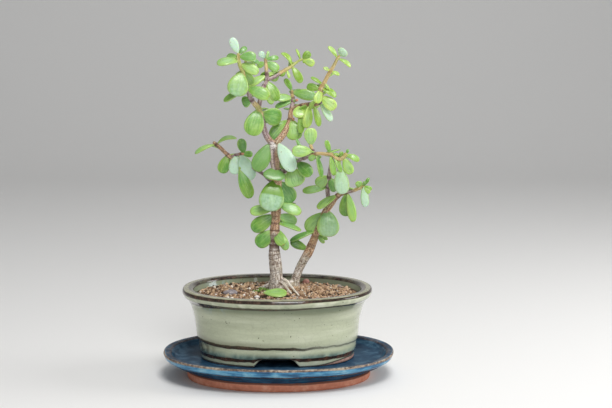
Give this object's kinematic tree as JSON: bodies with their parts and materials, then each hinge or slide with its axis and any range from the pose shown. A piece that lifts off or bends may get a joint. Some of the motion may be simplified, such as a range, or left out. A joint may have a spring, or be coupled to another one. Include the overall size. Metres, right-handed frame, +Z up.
{
  "type": "potted bonsai tree",
  "caption": "Small succulent bonsai with an upright and a leaning trunk and fleshy round leaves, growing in a footed oval glazed pot that stands on an oval glazed drip tray.",
  "frame": {"origin": "on the table, under the centre of the drip tray", "axes": "+X to the right and +Y away from the viewer as seen from the front, along the pot's long and short sides; +Z up"},
  "size_m": [0.1856, 0.1428, 0.2728],
  "materials": {
    "tray_glaze": "gloss blue glaze that breaks brown and ivory on the lip's edges; bare terracotta foot",
    "pot_glaze": "gloss grey-green celadon glaze with dark brown breaks along the lip and ridges",
    "drain_mesh": "dark woven plastic mesh",
    "soil": "loose tan and brown grit of crushed fired clay, pumice and bark",
    "stone_grey": "matt grey-purple grit stone",
    "stone_red": "matt pink-red lava stone",
    "stone_white": "matt white pebble",
    "bark": "grey-brown finely streaked bark",
    "leaf": "smooth waxy succulent leaf, satin, with a pale bloom in places",
    "young_leaf": "smooth waxy young leaf, yellow-green"
  },
  "bodies": {
    "root": {"drip_tray": "tray_glaze", "pot": "pot_glaze", "drain_screen_left": "drain_mesh", "drain_screen_right": "drain_mesh", "soil_bed": "soil", "stone_grey": "stone_grey", "stone_red": "stone_red", "stone_white": "stone_white", "trunk": "bark", "leaf_branch_crown_left": "leaf", "leaf_branch_crown_middle": "leaf", "leaf_branch_crown_twig": "young_leaf", "leaf_branch_crown_right": "leaf", "leaf_branch_right_high": "young_leaf", "leaf_branch_right_middle": "leaf", "leaf_branch_left_middle": "leaf", "leaf_branch_lean_right": "leaf", "leaf_branch_lean_up": "leaf", "fallen_leaf": "leaf"}
  },
  "joints": []
}
